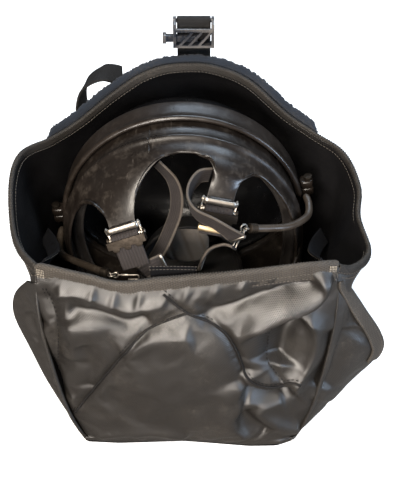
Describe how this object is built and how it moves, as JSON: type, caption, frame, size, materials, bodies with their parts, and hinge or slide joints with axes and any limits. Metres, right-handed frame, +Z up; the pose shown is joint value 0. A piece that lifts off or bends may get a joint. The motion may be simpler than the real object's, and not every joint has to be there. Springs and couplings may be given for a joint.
{
  "type": "full face respirator in a carry pouch",
  "caption": "Full face respirator with visor, rubber face blank, strap harness and chin inlet port, stowed upright in an open fabric carry pouch with a closure buckle.",
  "frame": {"origin": "on the floor, under the middle of the pouch's width", "axes": "+Z up, the pouch mouth opens towards -Y, +X to the right as seen from the mouth side"},
  "size_m": [0.2732, 0.208, 0.2645],
  "materials": {
    "pouch_shell": "coated woven nylon with a satin sheen",
    "pouch_inside": "dark woven lining",
    "board": "matte",
    "binding": "ribbed binding tape",
    "fleece": "brushed pile",
    "hook_tape": "hook-and-loop tape",
    "webbing": "flat woven webbing",
    "buckle_plastic": "moulded, slightly glossy",
    "face_rubber": "moulded rubber, satin with scuffs",
    "seal_rubber": "soft matt rubber",
    "visor_clear": "polished, lightly scratched",
    "frame_plastic": "hard moulded frame",
    "steel": "plated steel",
    "cup_rubber": "grey textured silicone",
    "valve_plastic": "fine moulded",
    "valve_disc": "thin translucent silicone",
    "diaphragm": "thin foil",
    "harness": "elastic webbing with fine rib",
    "brass": "worn plating",
    "cord_rubber": "dusty rubber cord"
  },
  "bodies": {
    "pouch": {"pouch_front": "pouch_shell", "pouch_back": "pouch_inside", "pouch_floor": "pouch_inside", "base_board": "board", "front_rim_binding": "binding", "hood_edge_binding": "binding", "hood_fleece_band": "fleece", "left_ear_panel": "pouch_shell", "right_ear_panel": "pouch_shell", "left_closure_tape": "hook_tape", "right_closure_tape": "hook_tape", "name_tab": "hook_tape", "carry_loop": "webbing", "closure_strap": "webbing"},
    "buckle_socket": {"buckle_socket": "buckle_plastic"},
    "buckle_latch": {"buckle_latch": "buckle_plastic"},
    "facepiece": {"face_blank": "face_rubber", "face_seal": "seal_rubber", "visor": "visor_clear", "lens_frame_upper": "frame_plastic", "lens_frame_lower": "frame_plastic", "frame_screws": "steel", "nose_cup": "cup_rubber", "nose_valve_seats": "valve_plastic", "port_housing": "valve_plastic", "port_clamp_ring": "steel", "port_gasket": "seal_rubber", "exhale_seat": "valve_plastic", "exhale_spring": "steel", "exhale_cover": "valve_plastic", "voice_diaphragm": "diaphragm", "voice_ring": "valve_plastic", "left_cheek_link": "steel", "right_cheek_link": "steel", "crown_straps": "harness", "cheek_straps": "harness", "head_pad": "harness", "left_side_cord": "cord_rubber", "right_side_cord": "cord_rubber"},
    "left_temple_link": {"left_temple_link": "steel", "left_temple_strap": "harness"},
    "right_temple_link": {"right_temple_link": "steel", "right_temple_strap": "harness", "strap_slide": "brass"},
    "left_temple_roller": {"left_temple_roller": "steel"},
    "left_temple_lever": {"left_temple_lever": "steel"},
    "right_temple_roller": {"right_temple_roller": "steel"},
    "right_temple_lever": {"right_temple_lever": "steel"},
    "left_cheek_roller": {"left_cheek_roller": "steel"},
    "left_cheek_lever": {"left_cheek_lever": "steel"},
    "right_cheek_roller": {"right_cheek_roller": "steel"},
    "right_cheek_lever": {"right_cheek_lever": "steel"},
    "left_hook_ring": {"left_hook_ring": "steel"},
    "right_hook_ring": {"right_hook_ring": "steel"},
    "left_snap_hook": {"left_snap_hook": "steel"},
    "right_snap_hook": {"right_snap_hook": "steel"},
    "left_nose_valve": {"left_nose_valve": "valve_disc"},
    "right_nose_valve": {"right_nose_valve": "valve_disc"},
    "inlet_valve": {"inlet_valve": "valve_disc"},
    "exhale_valve": {"exhale_valve": "valve_disc"}
  },
  "joints": [
    {"name": "facepiece_lift", "type": "slide", "parent": "pouch", "child": "facepiece", "axis": [0, -0.3746, 0.9272], "range_m": [0, 0.3]},
    {"name": "closure_buckle_pivot", "type": "hinge", "parent": "pouch", "child": "buckle_socket", "pos_m": [0.007, 0.1065, 0.2615], "axis": [-1, 0, 0], "range_deg": [0, 100]},
    {"name": "closure_latch_slide", "type": "slide", "parent": "buckle_socket", "child": "buckle_latch", "axis": [1, 0, 0], "range_m": [0, 0.005]},
    {"name": "left_temple_buckle_pivot", "type": "hinge", "parent": "facepiece", "child": "left_temple_link", "pos_m": [-0.04147, -0.041, 0.18452], "axis": [-0.9336, 0, -0.3584], "range_deg": [-2, 12]},
    {"name": "left_temple_roller_spin", "type": "hinge", "parent": "left_temple_link", "child": "left_temple_roller", "pos_m": [-0.03908, -0.0437, 0.17829], "axis": [0.9336, 0, 0.3584], "continuous": true},
    {"name": "left_temple_lever_pivot", "type": "hinge", "parent": "left_temple_link", "child": "left_temple_lever", "pos_m": [-0.03908, -0.0437, 0.17829], "axis": [-0.9336, 0, -0.3584], "range_deg": [0, 50]},
    {"name": "right_temple_buckle_pivot", "type": "hinge", "parent": "facepiece", "child": "right_temple_link", "pos_m": [0.02548, -0.029, 0.19746], "axis": [-0.9744, 0, 0.225], "range_deg": [-2, 12]},
    {"name": "right_temple_roller_spin", "type": "hinge", "parent": "right_temple_link", "child": "right_temple_roller", "pos_m": [0.02393, -0.03111, 0.19076], "axis": [0.9744, 0, -0.225], "continuous": true},
    {"name": "right_temple_lever_pivot", "type": "hinge", "parent": "right_temple_link", "child": "right_temple_lever", "pos_m": [0.02393, -0.03111, 0.19076], "axis": [-0.9744, 0, 0.225], "range_deg": [0, 50]},
    {"name": "left_cheek_roller_spin", "type": "hinge", "parent": "facepiece", "child": "left_cheek_roller", "pos_m": [-0.07188, -0.0272, 0.09269], "axis": [0.1392, 0, -0.9903], "continuous": true},
    {"name": "left_cheek_lever_pivot", "type": "hinge", "parent": "facepiece", "child": "left_cheek_lever", "pos_m": [-0.07188, -0.0272, 0.09269], "axis": [-0.1392, 0, 0.9903], "range_deg": [0, 50]},
    {"name": "right_cheek_roller_spin", "type": "hinge", "parent": "facepiece", "child": "right_cheek_roller", "pos_m": [0.07963, -0.0272, 0.11399], "axis": [-0.1392, 0, 0.9903], "continuous": true},
    {"name": "right_cheek_lever_pivot", "type": "hinge", "parent": "facepiece", "child": "right_cheek_lever", "pos_m": [0.07963, -0.0272, 0.11399], "axis": [0.1392, 0, -0.9903], "range_deg": [0, 50]},
    {"name": "left_ring_turn", "type": "hinge", "parent": "facepiece", "child": "left_hook_ring", "pos_m": [-0.0497, -0.05239, 0.15044], "axis": [-0.0665, 0.3671, 0.9278], "range_deg": [-8, 8]},
    {"name": "left_hook_swing", "type": "hinge", "parent": "left_hook_ring", "child": "left_snap_hook", "pos_m": [-0.04713, -0.0527, 0.15075], "axis": [0.155, 0.9224, -0.3538], "range_deg": [-4, 10]},
    {"name": "right_ring_turn", "type": "hinge", "parent": "facepiece", "child": "right_hook_ring", "pos_m": [0.04203, -0.03411, 0.17777], "axis": [0.5255, -0.8102, 0.2596], "range_deg": [-8, 8]},
    {"name": "right_hook_swing", "type": "hinge", "parent": "right_hook_ring", "child": "right_snap_hook", "pos_m": [0.04103, -0.0354, 0.17574], "axis": [0.7595, 0.3093, -0.5723], "range_deg": [-8, 8]},
    {"name": "left_nose_valve_lift", "type": "slide", "parent": "facepiece", "child": "left_nose_valve", "axis": [0, -1, 0], "range_m": [0, 0.0015]},
    {"name": "right_nose_valve_lift", "type": "slide", "parent": "facepiece", "child": "right_nose_valve", "axis": [0, -1, 0], "range_m": [0, 0.0015]},
    {"name": "inlet_valve_lift", "type": "slide", "parent": "facepiece", "child": "inlet_valve", "axis": [0, -1, 0], "range_m": [0, 0.0025]},
    {"name": "exhale_valve_lift", "type": "slide", "parent": "facepiece", "child": "exhale_valve", "axis": [0.1392, 0, -0.9903], "range_m": [0, 0.002], "deforming": ["exhale_spring"]}
  ]
}
